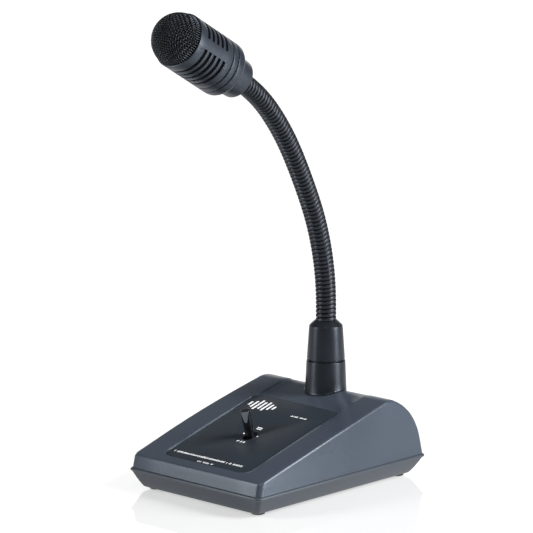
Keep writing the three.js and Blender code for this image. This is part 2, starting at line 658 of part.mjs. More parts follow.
// Dynamic capsule: a coil on a domed diaphragm moves in the ring gap of a pot magnet.
function addCapsule(parent) {
  const rear = 40;
  const front = 62;
  const outer = 15.4;
  piece(parent, 'capsule_housing', revolve([
    [2.5, rear], [outer, rear], [outer, front], [outer - 1.2, front], [outer - 1.2, rear + 1.5],
    [2.5, rear + 1.5],
  ], 20, true), 'blackPlastic');
  piece(parent, 'capsule_yoke', revolve([
    [0, rear + 2], [12, rear + 2], [12, rear + 13], [10, rear + 13], [10, rear + 4], [0, rear + 4],
  ]), 'iron');
  piece(parent, 'capsule_magnet', rod(7.4, rear + 4 + GAP, rear + 10.5, 16), 'iron');
  piece(parent, 'capsule_pole_piece', rod(8.2, rear + 10.5 + GAP, rear + 13, 16), 'steel');
  piece(parent, 'voice_coil', tube(9.5, 8.6, rear + 8, rear + 14.5, 16), 'copper');
  piece(parent, 'diaphragm', revolve([
    [0, rear + 17.3], [4.5, rear + 16.8], [9, rear + 14.8], [11, rear + 15.8], [13.8, rear + 15],
    [13.8, rear + 15.4], [11, rear + 16.2], [9, rear + 15.3], [4.5, rear + 17.2], [0, rear + 17.7],
  ], 16), 'film');
  const vents = [rod(1.6, 50, 70, 6)];
  for (let i = 0; i < 6; i++) {
    const angle = Math.PI * i / 3;
    vents.push(rod(1.6, 50, 70, 6).translate(7.5 * Math.cos(angle), 7.5 * Math.sin(angle), 0));
  }
  piece(parent, 'capsule_cover', cut(rod(13.8, front - 2.2, front - 1, 20), ...vents), 'blackPlastic');
  for (const [name, bottom] of [['shock_ring_rear', rear + 1.5], ['shock_ring_front', front - 5.5]]) {
    piece(parent, name, tube(18.4, outer + GAP, bottom, bottom + 4), 'rubber');
  }
}

// ---- Assembly -----------------------------------------------------------------------------

const microphone = new THREE.Group();
addCasing(microphone);
addBallast(microphone);
addBoard(microphone);
addTransformer(microphone);
addSocket(microphone);
microphone.add(panel);
addLabel(panel);
addSwitch(panel);
addCollars(microphone);
addNeck(microphone);

const neckEnd = neckAt(NECK_LENGTH);
const head = new THREE.Group();
head.position.set(0, neckEnd.y, neckEnd.z);
head.rotation.x = neckEnd.lean;
microphone.add(head);
addHeadShell(head);
addGrille(head);
addCapsule(head);

// The outline's middle goes over the origin.
microphone.updateMatrixWorld(true);
const outline = new THREE.Box3().setFromObject(microphone, true);
microphone.position.y = -(outline.min.y + outline.max.y) / 2;
microphone.updateMatrixWorld(true);

export default microphone;
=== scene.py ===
"""Gooseneck desk microphone: the detailed pieces, their materials, the floor, the lights
and the camera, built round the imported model. Shapes are worked out in millimetres."""

import json
import math

import bmesh
import bpy
import numpy as np
from mathutils import Matrix, Vector


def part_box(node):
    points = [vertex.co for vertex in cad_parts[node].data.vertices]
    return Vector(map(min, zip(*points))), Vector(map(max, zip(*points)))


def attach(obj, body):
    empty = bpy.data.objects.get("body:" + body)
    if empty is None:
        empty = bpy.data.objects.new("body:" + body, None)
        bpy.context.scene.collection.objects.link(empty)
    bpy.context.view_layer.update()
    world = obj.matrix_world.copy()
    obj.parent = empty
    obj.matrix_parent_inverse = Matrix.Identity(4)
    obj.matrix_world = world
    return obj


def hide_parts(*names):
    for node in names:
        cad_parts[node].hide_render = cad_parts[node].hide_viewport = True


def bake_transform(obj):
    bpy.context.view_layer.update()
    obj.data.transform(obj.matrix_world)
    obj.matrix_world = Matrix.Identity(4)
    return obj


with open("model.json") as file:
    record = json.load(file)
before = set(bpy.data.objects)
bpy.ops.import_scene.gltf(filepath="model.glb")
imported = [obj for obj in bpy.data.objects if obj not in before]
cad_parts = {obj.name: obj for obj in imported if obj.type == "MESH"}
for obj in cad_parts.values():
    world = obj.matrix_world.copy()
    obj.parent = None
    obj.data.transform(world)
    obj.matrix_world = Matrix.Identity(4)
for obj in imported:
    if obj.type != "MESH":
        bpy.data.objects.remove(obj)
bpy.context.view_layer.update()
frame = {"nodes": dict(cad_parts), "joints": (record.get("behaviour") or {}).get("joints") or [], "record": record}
MM = 0.001

# ---- Driving dimensions, in millimetres ----

TRAY_LOW, TRAY_HIGH = (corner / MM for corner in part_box("bottom_tray"))
BASE_HALF_WIDTH = TRAY_HIGH.x
BASE_FRONT, BASE_REAR = TRAY_LOW.y, TRAY_HIGH.y
MID_Y = BASE_FRONT + 89.0          # the base's own zero, below its middle
BEAD = 1.2
PARTING = 16
FOOT_HEIGHT = TRAY_LOW.z
COVER_HALF_WIDTH = BASE_HALF_WIDTH - BEAD
CORNER_RADIUS, EDGE_RADIUS = 4.0, 1.9
FRONT_ROUNDING, CREST_ROUNDING = 1.9, 22
DRAFT = 1 / 46                     # how much the cover's sides draw in with height
WALL = 2.6
SLOPE = math.radians(15.2)
FRONT_EDGE = MID_Y - 85.4
FRONT_TOP = 25.3
FRONT_FOOT = FRONT_EDGE - 2.1      # the front wall leans back from here
COVER_FOOT = PARTING + 0.06        # a hair above the tray's rim
ARC_Y, ARC_Z, ARC_RADIUS = MID_Y + 38, 15.6, 48.4
REAR_LEAN = math.radians(15)       # of the straight wall below the rear arc
SLOPE_LENGTH = 142                 # over which the rails and the sides swell
RAIL_CROWN, SIDE_SWELL = 1.2, 1.3
LABEL_START, LABEL_END, LABEL_HALF_WIDTH, LABEL_RADIUS = 8.4, 110, 42, 7
LABEL_THICKNESS = 0.35
BAND_HALF_WIDTH, BAND_DEPTH = 39.5, 0.4
SWITCH_STATION = 57.5
SLOT_SHAPE = (3.9, 6.5)            # half width and half length of the lever's slot
DISH_SHAPE = (11.0, 15.5)          # the same of the dish's rim
DISH_DEPTH = 1.0
LEVER_RADIUS, LEVER_TOP, LEVER_PIVOT = 3.4, 19.5, 8.0      # the pivot is below the panel
NECK_Y = MID_Y + 50.5
COLLAR_TOP = 112
COLLAR_SPLIT = 83.2                # where the upper collar stands on the lower one
COLLAR_BORE = 6.7
NECK_RADIUS = 7.1
NECK_BORE = 5.2
LEAD_RADIUS, LEAD_CORE = 1.8, 0.6
RIB_PITCH = 3.15
HEAD_RADIUS = 20.35
HEAD_BORE = 18.5
BOOT_BORE = 7.4
HEAD_BOOT, HEAD_CAP, HEAD_RING, HEAD_RIM = 15, 23.8, 30.1, 66.8     # where each part ends
DOME_RADIUS = 19.5
SLOT_COUNT, SLOT_FIRST, SLOT_PITCH, SLOT_HALF = 5, 8.7, 5.03, 1.2   # counted from the rim
LAND_RISE = math.radians(7.4)      # how far above the barrel's sides the plain lands lie
LAND_HALF = math.radians(11.5)     # half of each land between the upper and lower slots
SHARP = 0.01                       # rounding of a corner that stays sharp
NECK_STRETCHES = [                 # (length, forward bend), from the collar up
    (9.8, 0), (40.9, math.radians(12.15)), (40.9, math.radians(11.85)), (40.9, math.radians(4.95)),
    (40.9, math.radians(11.7)), (40.9, math.radians(19.55)), (3.2, 0),
]
NECK_LENGTH = sum(length for length, _ in NECK_STRETCHES)


def neck_at(distance):
    """The neck's centre line at a distance from the collar: y, z and how far it leans forward."""
    y, z, lean = NECK_Y, COLLAR_TOP, 0.0
    left = distance
    for length, bend in NECK_STRETCHES:
        run = min(left, length)
        turn = bend * run / length
        if bend:
            radius = length / bend
            y += radius * (math.cos(lean + turn) - math.cos(lean))
            z += radius * (math.sin(lean + turn) - math.sin(lean))
        else:
            y -= run * math.sin(lean)
            z += run * math.cos(lean)
        lean += turn
        left -= run
        if left <= 0:
            break
    if left > 0:
        y -= left * math.sin(lean)
        z += left * math.cos(lean)
    return y, z, lean


# ---- Frames ----


def frame_at(y, z, turn_x):
    return Matrix.Translation((0, y, z)) @ Matrix.Rotation(turn_x, 4, "X")


HEAD_FRAME = frame_at(*neck_at(NECK_LENGTH))
COLLAR_FRAME = Matrix.Translation((0, NECK_Y, 0))
PANEL_FRAME = frame_at(FRONT_EDGE, FRONT_TOP, SLOPE)
SWITCH_FRAME = PANEL_FRAME @ Matrix.Translation((0, SWITCH_STATION, 0))
LABEL_LOW, LABEL_TILT = 0.8, math.radians(0.63)
LABEL_FRAME = PANEL_FRAME @ frame_at(0, -LABEL_LOW, LABEL_TILT)
DISH_FRAME = LABEL_FRAME @ Matrix.Translation((0, SWITCH_STATION, 0))
SOCKET_ANGLE = math.radians(21)
SOCKET_REACH = ARC_RADIUS - 1.7
SOCKET_BORE = 8.2
SOCKET_FLAT = (19, -17.5, 17.5, 3)     # half width, foot, top and corner radius
SOCKET_FRAME = frame_at(
    ARC_Y + SOCKET_REACH * math.cos(SOCKET_ANGLE),
    ARC_Z + SOCKET_REACH * math.sin(SOCKET_ANGLE),
    SOCKET_ANGLE - math.pi / 2,
)


# ---- Mesh helpers ----


def mesh_object(name, points, faces, place=None, sharp=35):
    """A new object from points in millimetres, smooth except along edges sharper than sharp."""
    mesh = bpy.data.meshes.new(name)
    mesh.from_pydata([tuple(p) for p in points], [], faces)
    obj = bpy.data.objects.new(name, mesh)
    bpy.context.scene.collection.objects.link(obj)
    tidy(obj)
    mesh.transform(Matrix.Scale(MM, 4) @ (place or Matrix.Identity(4)))
    shade(obj, sharp)
    return obj


def tidy(obj):
    """Merges doubled points and turns every face outwards."""
    work = bmesh.new()
    work.from_mesh(obj.data)
    bmesh.ops.remove_doubles(work, verts=work.verts, dist=1e-5)
    bmesh.ops.recalc_face_normals(work, faces=work.faces)
    work.to_mesh(obj.data)
    work.free()


def shade(obj, sharp=35):
    obj.data.shade_smooth()
    obj.data.set_sharp_from_angle(angle=math.radians(sharp))


def apply_modifiers(obj):
    graph = bpy.context.evaluated_depsgraph_get()
    graph.update()
    obj.data = bpy.data.meshes.new_from_object(obj.evaluated_get(graph))
    obj.modifiers.clear()
    return obj


def cut(obj, cutters):
    """Takes each of the cutters out of obj and removes it."""
    for cutter in cutters:
        step = obj.modifiers.new("step", "BOOLEAN")
        step.operation = "DIFFERENCE"
        step.solver = "EXACT"
        step.object = cutter
        apply_modifiers(obj)
        bpy.data.objects.remove(cutter)
    return obj


def bevel(obj, width, segments=3, angle=35):
    step = obj.modifiers.new("bevel", "BEVEL")
    step.width = width * MM
    step.segments = segments
    step.limit_method = "ANGLE"
    step.angle_limit = math.radians(angle)
    step.use_clamp_overlap = True
    return apply_modifiers(obj)


def clamp(value):
    return min(1.0, max(0.0, value))


def spread(start, end, count):
    """Evenly spaced values from start up to, but without, the end."""
    return [start + (end - start) * i / count for i in range(count)]


def circle(radius, segments=48, x=0, y=0):
    angles = spread(0, 2 * math.pi, segments)
    return [(x + radius * math.cos(a), y + radius * math.sin(a)) for a in angles]


def fillet(corners, steps=5):
    """A profile from (radius, height, rounding) corners, each rounded by an arc."""
    points = []
    count = len(corners)
    for i, (x, y, rounding) in enumerate(corners):
        here = Vector((x, y))
        if not rounding or i in (0, count - 1):
            points.append(here)
            continue
        before = (Vector(corners[i - 1][:2]) - here).normalized()
        after = (Vector(corners[i + 1][:2]) - here).normalized()
        half = before.angle(after) / 2
        reach = rounding / math.tan(half)
        centre = here + (before + after).normalized() * (rounding / math.sin(half))
        start = here + before * reach - centre
        sweep = start.angle_signed(here + after * reach - centre)
        for step in range(steps + 1):
            turned = start.copy()
            turned.rotate(Matrix.Rotation(-sweep * step / steps, 2))
            points.append(centre + turned)
    return [(p.x, p.y) for p in points]


def closed_profile(corners, steps=5):
    """As fillet, for a profile that closes on itself."""
    count = len(corners)
    points = []
    for i in range(count):
        three = [corners[i - 1], corners[i], corners[(i + 1) % count]]
        points += fillet(three, steps)[1:-1]
    return points


def lathe(name, profile, segments=96, closed=False, place=None, sharp=35):
    """Turns a profile of (radius, height) round Z."""
    points, faces = [], []
    rings = []
    for radius, height in profile:
        if radius < 1e-6:
            rings.append([len(points)] * segments)
            points.append((0, 0, height))
            continue
        rings.append(list(range(len(points), len(points) + segments)))
        points += [(x, y, height) for x, y in circle(radius, segments)]
    following = rings[1:] + (rings[:1] if closed else [])
    for low, high in zip(rings, following):
        for i in range(segments):
            j = (i + 1) % segments
            face = [low[i], low[j], high[j], high[i]]
            unique = [v for k, v in enumerate(face) if v != face[k - 1]]
            if len(unique) >= 3:
                faces.append(unique)
    return mesh_object(name, points, faces, place, sharp)


def rounded_rect(half_width, front, rear, radius, steps=8):
    """Outline points, anticlockwise from the front right corner."""
    points = []
    corners = [
        (half_width - radius, front + radius, -90), (half_width - radius, rear - radius, 0),
        (radius - half_width, rear - radius, 90), (radius - half_width, front + radius, 180),
    ]
    for x, y, start in corners:
        for step in range(steps + 1):
            angle = math.radians(start + 90 * step / steps)
            points.append((x + radius * math.cos(angle), y + radius * math.sin(angle)))
    return points


def ring_faces(levels, count, closed=False):
    """The faces of a solid whose points come ring by ring, with end caps unless it is closed."""
    faces = []
    for level in range(levels if closed else levels - 1):
        low, high = level * count, (level + 1) % levels * count
        for i in range(count):
            j = (i + 1) % count
            faces.append([low + i, low + j, high + j, high + i])
    if not closed:
        faces.append(list(range(count))[::-1])
        faces.append([(levels - 1) * count + i for i in range(count)])
    return faces


def loft(name, rings, place=None, closed=False, sharp=35):
    """A solid through rings of equally many points. It has two end caps unless it is closed."""
    points = [p for ring in rings for p in ring]
    faces = ring_faces(len(rings), len(rings[0]), closed)
    return mesh_object(name, points, faces, place, sharp)


def prism(name, outline, bottom, top, place=None):
    return loft(name, [[(x, y, z) for x, y in outline] for z in (bottom, top)], place)


def stadium(half_width, half_length, steps=12):
    return rounded_rect(half_width, -half_length, half_length, half_width, steps)


def grown(shape, extra):
    """A stadium whose half width and half length are both larger by extra."""
    half_width, half_length = shape
    return stadium(half_width + extra, half_length + extra)


def place_piece(obj, body, material, slot, *nodes):
    """Finishes a piece: its material, its body and the nodes that it stands for. The slot is not used."""
    obj.data.materials.clear()
    obj.data.materials.append(material)
    if nodes:
        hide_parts(*nodes)
    if body:
        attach(obj, body)
    return obj


# ---- Materials ----


class Shader:
    """A node material with a Principled shader, and short calls that add to it."""

    def __init__(self, name, color, roughness, metallic=0.0, **settings):
        self.material = bpy.data.materials.new(name)
        self.material.use_nodes = True
        self.tree = self.material.node_tree
        self.shader = self.tree.nodes["Principled BSDF"]
        self.shader.inputs["Base Color"].default_value = (*color, 1)
        self.shader.inputs["Roughness"].default_value = roughness
        self.shader.inputs["Metallic"].default_value = metallic
        for key, value in settings.items():
            label = key.replace("_", " ").title().replace("Ior", "IOR")
            self.shader.inputs[label].default_value = value
        self.place = self.tree.nodes.new("ShaderNodeTexCoord").outputs["Object"]
        self.height = None

    def noise(self, scale, detail=2.0):
        node = self.tree.nodes.new("ShaderNodeTexNoise")
        node.inputs["Scale"].default_value = scale
        node.inputs["Detail"].default_value = detail
        self.tree.links.new(self.place, node.inputs["Vector"])
        return node.outputs["Fac"]

    def remap(self, value, low, high):
        node = self.tree.nodes.new("ShaderNodeMapRange")
        node.inputs["From Min"].default_value = 0.3
        node.inputs["From Max"].default_value = 0.7
        node.inputs["To Min"].default_value = low
        node.inputs["To Max"].default_value = high
        self.tree.links.new(value, node.inputs["Value"])
        return node.outputs["Result"]

    def mix(self, value, first, second):
        node = self.tree.nodes.new("ShaderNodeMix")
        node.data_type = "RGBA"
        node.inputs["A"].default_value = (*first, 1)
        node.inputs["B"].default_value = (*second, 1)
        self.tree.links.new(value, node.inputs["Factor"])
        self.tree.links.new(node.outputs["Result"], self.shader.inputs["Base Color"])

    def vary_roughness(self, value, low, high):
        self.tree.links.new(self.remap(value, low, high), self.shader.inputs["Roughness"])

    def bump(self, value, distance, strength=1.0):
        """Adds a height in millimetres of surface relief."""
        node = self.tree.nodes.new("ShaderNodeBump")
        node.inputs["Distance"].default_value = distance * MM
        node.inputs["Strength"].default_value = strength
        self.tree.links.new(value, node.inputs["Height"])
        if self.height is not None:
            self.tree.links.new(self.height, node.inputs["Normal"])
        self.height = node.outputs["Normal"]
        self.tree.links.new(self.height, self.shader.inputs["Normal"])


def linear(red, green, blue):
    """A colour given as it looks on screen, 0 to 255."""
    return tuple((c / 255 / 12.92) if c < 10 else ((c / 255 + 0.055) / 1.055) ** 2.4
                 for c in (red, green, blue))


def shifted(color, factor):
    return tuple(c * factor for c in color)


def moulded(name, color, roughness, grain=0.012, grain_scale=1400.0, specular=0.5):
    """Moulded plastic with a fine spark-eroded grain and slow changes of tone and gloss."""
    tint = (0.82, 0.92, 1, 1)
    shader = Shader(name, color, roughness, specular_ior_level=specular, specular_tint=tint)
    slow = shader.noise(18.0, 3.0)
    shader.mix(shader.remap(slow, 0, 1), shifted(color, 0.93), shifted(color, 1.07))
    shader.vary_roughness(slow, roughness - 0.04, roughness + 0.05)
    shader.bump(shader.noise(grain_scale, 2.0), grain)
    return shader.material


def painted(name, color, roughness, grain=0.006):
    """Satin paint over metal: a faint orange peel and a fine speckle."""
    shader = Shader(name, color, roughness, specular_ior_level=0.38, specular_tint=(0.72, 0.84, 1, 1))
    shader.mix(shader.remap(shader.noise(30.0, 3.0), 0, 1), shifted(color, 0.93), shifted(color, 1.08))
    shader.vary_roughness(shader.noise(60.0, 2.0), roughness - 0.04, roughness + 0.05)
    shader.bump(shader.noise(350.0, 1.0), grain)
    shader.bump(shader.noise(2200.0, 1.0), grain * 0.5)
    return shader.material


def bare_metal(name, color, roughness):
    shader = Shader(name, color, roughness, metallic=1.0)
    fine = shader.noise(900.0, 3.0)
    shader.mix(shader.remap(fine, 0, 1), shifted(color, 0.85), shifted(color, 1.05))
    shader.vary_roughness(fine, roughness - 0.06, roughness + 0.1)
    shader.bump(fine, 0.01)
    return shader.material


def rough_soft(name, color, roughness, scale, relief):
    shader = Shader(name, color, roughness)
    fine = shader.noise(scale, 4.0)
    shader.mix(shader.remap(fine, 0, 1), shifted(color, 0.7), shifted(color, 1.25))
    shader.bump(fine, relief)
    return shader.material


CASING = moulded("casing_plastic", linear(57, 64, 75), 0.28, 0.006, specular=0.36)
TRAY = moulded("tray_plastic", linear(57, 62, 69), 0.34, 0.008, specular=0.36)
LABEL = moulded("label_overlay", linear(35, 41, 48), 0.5, 0.006, 2400.0, specular=0.38)
BLACK = moulded("black_plastic", linear(14, 15, 17), 0.26, 0.004)
# Light grey for the black lever's flat: a painted reflection, standing for the light that the flat catches.
LEVER_FLAT_SHEEN = moulded("lever_flat_painted_sheen", linear(98, 104, 114), 0.42, 0.004)
PAINT = painted("head_paint", linear(33, 37, 44), 0.32)
COLLAR_PAINT = painted("collar_paint", linear(18, 20, 24), 0.35)
COIL = bare_metal("coil_black", linear(54, 57, 62), 0.37)
WIRE = painted("mesh_wire", linear(6, 7, 9), 0.25)
RUBBER = rough_soft("rubber", linear(28, 28, 29), 0.75, 900.0, 0.02)
CLOTH = rough_soft("slot_cloth_black", linear(11, 11, 12), 0.95, 1500.0, 0.1)
FOAM = rough_soft("foam", linear(20, 20, 21), 0.95, 1500.0, 0.4)
PRINT = moulded("white_print", linear(250, 251, 252), 0.5, 0.004)
STEEL = bare_metal("zinc_steel", linear(186, 188, 192), 0.32)
BRASS = bare_metal("brass", linear(205, 175, 105), 0.3)
COPPER = rough_soft("copper_wire", linear(184, 110, 62), 0.35, 2500.0, 0.05)
IRON = bare_metal("grey_iron", linear(110, 112, 115), 0.55)
BOARD = moulded("board", linear(30, 92, 58), 0.45, 0.02, 700.0)
FILM = moulded("polyester_film", linear(190, 192, 196), 0.25, 0.002)

SLOT_MATERIALS = {
    "casing": CASING, "label": LABEL, "black_plastic": BLACK, "rubber": RUBBER,
    "painted_metal": PAINT, "neck_metal": COIL, "grille_mesh": WIRE, "steel": STEEL,
    "brass": BRASS, "copper": COPPER, "iron": IRON, "board": BOARD, "foam": FOAM, "film": FILM,
}


def dress_cad_nodes():
    """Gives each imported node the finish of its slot, for the nodes that stay in view."""
    slots = {row["node"]: row["material_slot"] for row in frame["record"]["subparts"]}
    for node, obj in frame["nodes"].items():
        obj.data.materials.clear()
        obj.data.materials.append(SLOT_MATERIALS[slots[node]])
        shade(obj, 30)


# ---- Base cover ----


def top_height(y, inset=0.0):
    return FRONT_TOP + (y - FRONT_EDGE) * math.tan(SLOPE) - inset / math.cos(SLOPE)


def crest(inset=0.0):
    """Where the sloping top meets the rear arc."""
    offset = (top_height(ARC_Y, inset) - ARC_Z) * math.cos(SLOPE)
    chord = math.sqrt((ARC_RADIUS - inset) ** 2 - offset ** 2)
    y = ARC_Y - offset * math.sin(SLOPE) + chord * math.cos(SLOPE)
    return Vector((y, top_height(y, inset)))


def slope_stations():
    """Distances up the slope at which the cover has a row of points: close together where the
    label's recess starts, turns its corners and ends."""
    corner = [LABEL_RADIUS * (1 - math.cos(math.radians(turn))) for turn in range(15, 91, 15)]
    front = [LABEL_START - 0.5, LABEL_START - 0.15, LABEL_START, LABEL_START + 0.06]
    rear = [LABEL_END - 0.06, LABEL_END, LABEL_END + 0.15, LABEL_END + 0.5]
    first, last = LABEL_START + LABEL_RADIUS + 3, LABEL_END - LABEL_RADIUS - 3
    middle = spread(first, last, 24) + [last]
    turns = [LABEL_START + c for c in corner] + [LABEL_END - c for c in reversed(corner)]
    edge = [2.6, 3.3, 4.0, 4.8, 6.2]
    return sorted(edge + front + turns + middle + rear + [LABEL_END + 4, LABEL_END + 8])


def side_profile(inset=0.0, bottom=COVER_FOOT):
    """The cover's side outline as (y, z), from the front foot over the top to the rear foot."""
    foot = Vector((FRONT_FOOT + inset, bottom))
    edge_y = FRONT_EDGE + inset
    edge = Vector((edge_y, top_height(edge_y, inset)))
    top = crest(inset)
    start = math.atan2(top.y - ARC_Z, top.x - ARC_Y)
    radius = ARC_RADIUS - inset
    tangent = Vector((math.sin(start), -math.cos(start)))
    corners = [(*foot, 0), (*edge, FRONT_ROUNDING), (*top, CREST_ROUNDING), (*(top + tangent * 12), 0)]
    rounded = [Vector(p) for p in fillet(corners, 8)[:-1]]
    along = Vector((math.cos(SLOPE), math.sin(SLOPE)))
    line = []
    for a, b in zip(rounded, rounded[1:]):
        line.append(a)
        if (b - a).length > 40:
            line += [edge + along * s for s in slope_stations()]
        elif (b - a).length > 4:
            line += [a.lerp(b, i / 3) for i in (1, 2)]
    first = math.atan2(rounded[-1].y - ARC_Z, rounded[-1].x - ARC_Y)
    steps = 32
    for i in range(steps + 1):
        angle = first + (REAR_LEAN - first) * i / steps
        line.append(Vector((ARC_Y + radius * math.cos(angle), ARC_Z + radius * math.sin(angle))))
    wall = line[-1]
    for i in (1, 2, 3):
        z = wall.y + (bottom - wall.y) * i / 3
        line.append(Vector((wall.x + (wall.y - z) * math.tan(REAR_LEAN), z)))
    return line


def inward_normals(line):
    normals = []
    for i in range(len(line)):
        ahead = line[min(i + 1, len(line) - 1)] - line[max(i - 1, 0)]
        normals.append(Vector((ahead.y, -ahead.x)).normalized())
    return normals


def station_of(y):
    return (y - FRONT_EDGE) / math.cos(SLOPE)


def swell(station):
    """From 0 at the front edge and behind the crest to 1 between them."""
    return math.sin(math.pi * clamp(station / SLOPE_LENGTH))


def smooth(value, low, high):
    t = clamp((value - low) / (high - low))
    return t * t * (3 - 2 * t)


def edge_radius(point):
    """The rounding between top and side: full at the upright corners, small along the top."""
    along_top = smooth(point.x, FRONT_EDGE + 0.4, FRONT_EDGE + 4.2)
    height = point.y - PARTING
    up_rear = clamp(height / 32) if point.x > ARC_Y else 1.0
    return CORNER_RADIUS + (EDGE_RADIUS - CORNER_RADIUS) * min(along_top, up_rear)


def corner_draw(station):
    """How far the label's rounded corners draw its side in at this distance up the slope."""
    reach = min(station - LABEL_START, LABEL_END - station, LABEL_RADIUS)
    reach = max(0.0, reach)
    return LABEL_RADIUS - math.sqrt(LABEL_RADIUS ** 2 - (LABEL_RADIUS - reach) ** 2)


def recess(point):
    """The sunk middle of the cover at a point of its side outline: half its width, and how
    far its floor and the rails beside it stand above the plain outline."""
    station = station_of(point.x)
    rail = RAIL_CROWN * swell(station)
    on_slope = point.x < ARC_Y + 20 and point.y > FRONT_TOP - 4
    behind = point.x > ARC_Y
    if not on_slope and not behind:
        return LABEL_HALF_WIDTH - LABEL_RADIUS, rail, rail
    label_half = LABEL_HALF_WIDTH - corner_draw(station)
    label_floor = -LABEL_LOW + math.tan(LABEL_TILT) * station - LABEL_THICKNESS
    band_floor_here = rail - BAND_DEPTH
    entering = smooth(station, LABEL_START - 0.5, LABEL_START + 0.06)
    leaving = smooth(station, LABEL_END - 0.06, LABEL_END + 0.5)
    if station < LABEL_END:
        half = max(label_half, BAND_HALF_WIDTH) if station > LABEL_END - LABEL_RADIUS else label_half
    else:
        half = BAND_HALF_WIDTH
    floor = rail + (label_floor - rail) * entering
    floor += (band_floor_here - floor) * leaving
    return half, floor, rail


def cover_form(name, inset=0.0, bottom=COVER_FOOT, detailed=True):
    """The wedge as a closed solid: a line across the base swept along the side profile, with
    its long edges rounded into the sides and its middle sunk for the label and the band."""
    line = side_profile(inset, bottom)
    normals = inward_normals(line)
    rows = []
    for point, normal in zip(line, normals):
        station = station_of(point.x)
        height = max(0.0, point.y - PARTING)
        half_width = COVER_HALF_WIDTH - inset - DRAFT * height
        across = []
        if detailed:
            half_width += SIDE_SWELL * swell(station) * min(1.0, height / 20)
            radius = edge_radius(point)
            half, floor, rail = recess(point)
            for step in range(6, -1, -1):
                angle = math.pi / 2 * step / 6
                drop = radius * (1 - math.cos(angle))
                across.append((half_width - radius + radius * math.sin(angle), rail - drop))
            wall = rail - floor
            across += [
                (half + 4.0, rail), (half + 0.45, rail), (half + 0.16, rail - 0.1 * wall),
                (half + 0.05, rail - 0.35 * wall), (half, floor + 0.12 * wall), (half - 0.12, floor),
                (half * 0.7, floor), (half * 0.35, floor), (0.0, floor),
            ]
        else:
            across = [(half_width, 0.0), (half_width - 0.01, 0.0), (0.0, 0.0)]
        placed = []
        for x, rise in across:
            spot = point - normal * rise
            placed.append((x, spot.x, max(spot.y, bottom)))
        rows.append(placed + [(-x, y, z) for x, y, z in reversed(placed[:-1])])
    count = len(rows[0])
    points = [p for row in rows for p in row]
    faces = []
    for r in range(len(rows) - 1):
        for c in range(count - 1):
            low, high = r * count, (r + 1) * count
            faces.append([low + c, low + c + 1, high + c + 1, high + c])
    last = (len(rows) - 1) * count
    faces.append([r * count for r in range(len(rows))])
    faces.append([r * count + count - 1 for r in range(len(rows))][::-1])
    faces.append(list(range(count)) + list(range(last + count - 1, last - 1, -1)))
    return mesh_object(name, points, faces)


def build_cover():
    """The cover, hollowed, with its holes for the switch, the neck's stud and the socket."""
    cover = cover_form("top_cover_shell")
    inside = cover_form("inside", WALL, PARTING - 4, detailed=False)
    hole = prism("hole", grown(DISH_SHAPE, 0.3), -20, 5, SWITCH_FRAME)
    stud = prism("stud", circle(COLLAR_BORE), 30, 80, COLLAR_FRAME)
    flat = prism("flat", rounded_rect(*SOCKET_FLAT), 0, 10, SOCKET_FRAME)
    socket = prism("socket", circle(SOCKET_BORE), -20, 5, SOCKET_FRAME)
    cut(cover, [inside, hole, stud, flat, socket])
    tidy(cover)
    shade(cover, 32)
    return place_piece(cover, "base", CASING, "casing", "top_cover")


# ---- Tray and feet ----


def tray_ring(draw, z, radius=4.2):
    """The tray's outline drawn in, less at the front than at the rear."""
    front, rear = BASE_FRONT + 0.85 * draw, BASE_REAR - 1.2 * draw
    return [(x, y, z) for x, y in rounded_rect(BASE_HALF_WIDTH - draw, front, rear, radius)]


def build_tray():
    """The pan, ring by ring: its rounded foot, its leaning side, the bead and the inside."""
    floor = FOOT_HEIGHT
    foot = [
        tray_ring(9.6, floor, 2.4), tray_ring(8.6, floor + 0.15, 2.5),
        tray_ring(7.7, floor + 0.6, 2.8), tray_ring(7.0, floor + 1.4, 3.0),
    ]
    side = [
        tray_ring(4.9, floor + 4.4, 3.5), tray_ring(2.9, floor + 7.9, 3.9),
        tray_ring(1.1, PARTING - 2.9), tray_ring(0.9, PARTING - 2.5),
    ]
    bead = [
        tray_ring(0.35, PARTING - 2.2), tray_ring(0.05, PARTING - 1.8),
        tray_ring(0, PARTING - 1.2), tray_ring(0.2, PARTING - 0.75),
        tray_ring(0.6, PARTING - 0.35), tray_ring(1.1, PARTING - 0.1),
        tray_ring(1.5, PARTING),
    ]
    inside = [
        tray_ring(4.3, PARTING), tray_ring(4.3, PARTING - 2), tray_ring(8.2, floor + WALL),
    ]
    tray = loft("bottom_tray_pan", foot + side + bead + inside)
    return place_piece(tray, "base", TRAY, "casing", "bottom_tray")


def build_feet():
    for number in range(1, 5):
        low, high = (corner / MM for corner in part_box(f"foot_{number}"))
        centre = (low + high) / 2
        radius = (high.x - low.x) / 2
        profile = fillet([
            (0, low.z, 0), (radius - 1.0, low.z, 0.3), (radius - 0.1, low.z + 0.4, 0.4),
            (radius, high.z, 0), (0, high.z, 0),
        ])
        place = Matrix.Translation((centre.x, centre.y, 0))
        foot = lathe(f"foot_pad_{number}", profile, 48, place=place)
        place_piece(foot, "base", RUBBER, "rubber", f"foot_{number}")


# ---- Label, bezel and lever ----


def build_label():
    half_width = LABEL_HALF_WIDTH - 0.14
    outline = rounded_rect(half_width, LABEL_START + 0.1, LABEL_END - 0.1, LABEL_RADIUS)
    plate = prism("label_sheet", outline, 0.02 - LABEL_THICKNESS, 0, LABEL_FRAME)
    hole = prism("hole", grown(DISH_SHAPE, 0.02), -5, 5, DISH_FRAME)
    cut(plate, [hole])
    tidy(plate)
    bevel(plate, 0.1, 2)
    shade(plate, 32)
    return place_piece(plate, "base", LABEL, "label", "label_plate")


def dish_outline(t):
    """The dish's half width and half length, for t from 0 at the slot to 1 at the rim."""
    return tuple(slot + (rim - slot) * t for slot, rim in zip(SLOT_SHAPE, DISH_SHAPE))


def dish_curve(t):
    """Its depth there: level at the rim and steepest by the slot."""
    return DISH_DEPTH * (1 - t * t) ** 1.3


